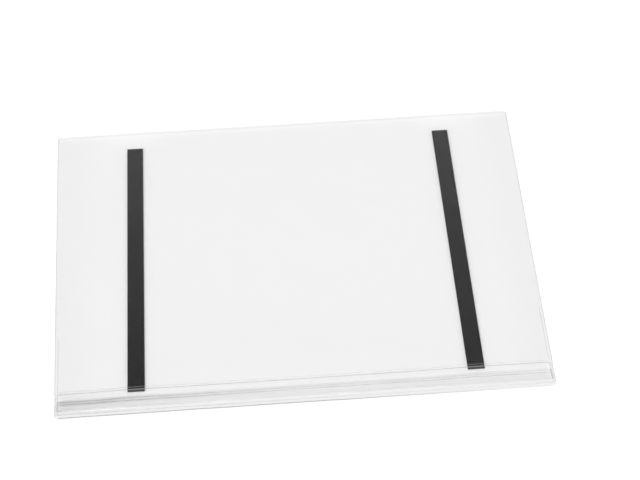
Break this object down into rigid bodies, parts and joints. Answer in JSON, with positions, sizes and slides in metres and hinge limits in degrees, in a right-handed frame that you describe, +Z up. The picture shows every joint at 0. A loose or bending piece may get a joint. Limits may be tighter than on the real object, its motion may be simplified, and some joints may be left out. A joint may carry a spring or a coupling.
{
  "type": "magnetic document pocket",
  "caption": "Clear plastic pocket for a sheet laid sideways, with a press-shut zip along its near edge and black magnetic strips stuck across its back.",
  "frame": {"origin": "middle of the pocket's outline, at the table that it lies on", "axes": "+X along the width to the right, +Y from the mouth to the far edge, +Z up, out of the front film"},
  "size_m": [0.315, 0.236, 0.0026],
  "materials": {
    "clear_film": "clear soft PVC film, smooth and glossy",
    "clear_zip_tape": "clear extruded PVC tape, glossy, with fine lengthways draw lines",
    "magnet_rubber": "rubber-bonded ferrite sheet, dull dark grey-black",
    "adhesive_tape": "clear acrylic adhesive tape, pressed flat, so the black strip shows through it"
  },
  "bodies": {
    "root": {"back_film": "clear_film", "front_film": "clear_film", "back_zip_tape": "clear_zip_tape", "front_zip_tape": "clear_zip_tape", "left_magnet_strip": "magnet_rubber", "right_magnet_strip": "magnet_rubber", "left_adhesive_tape": "adhesive_tape", "right_adhesive_tape": "adhesive_tape"}
  },
  "joints": []
}
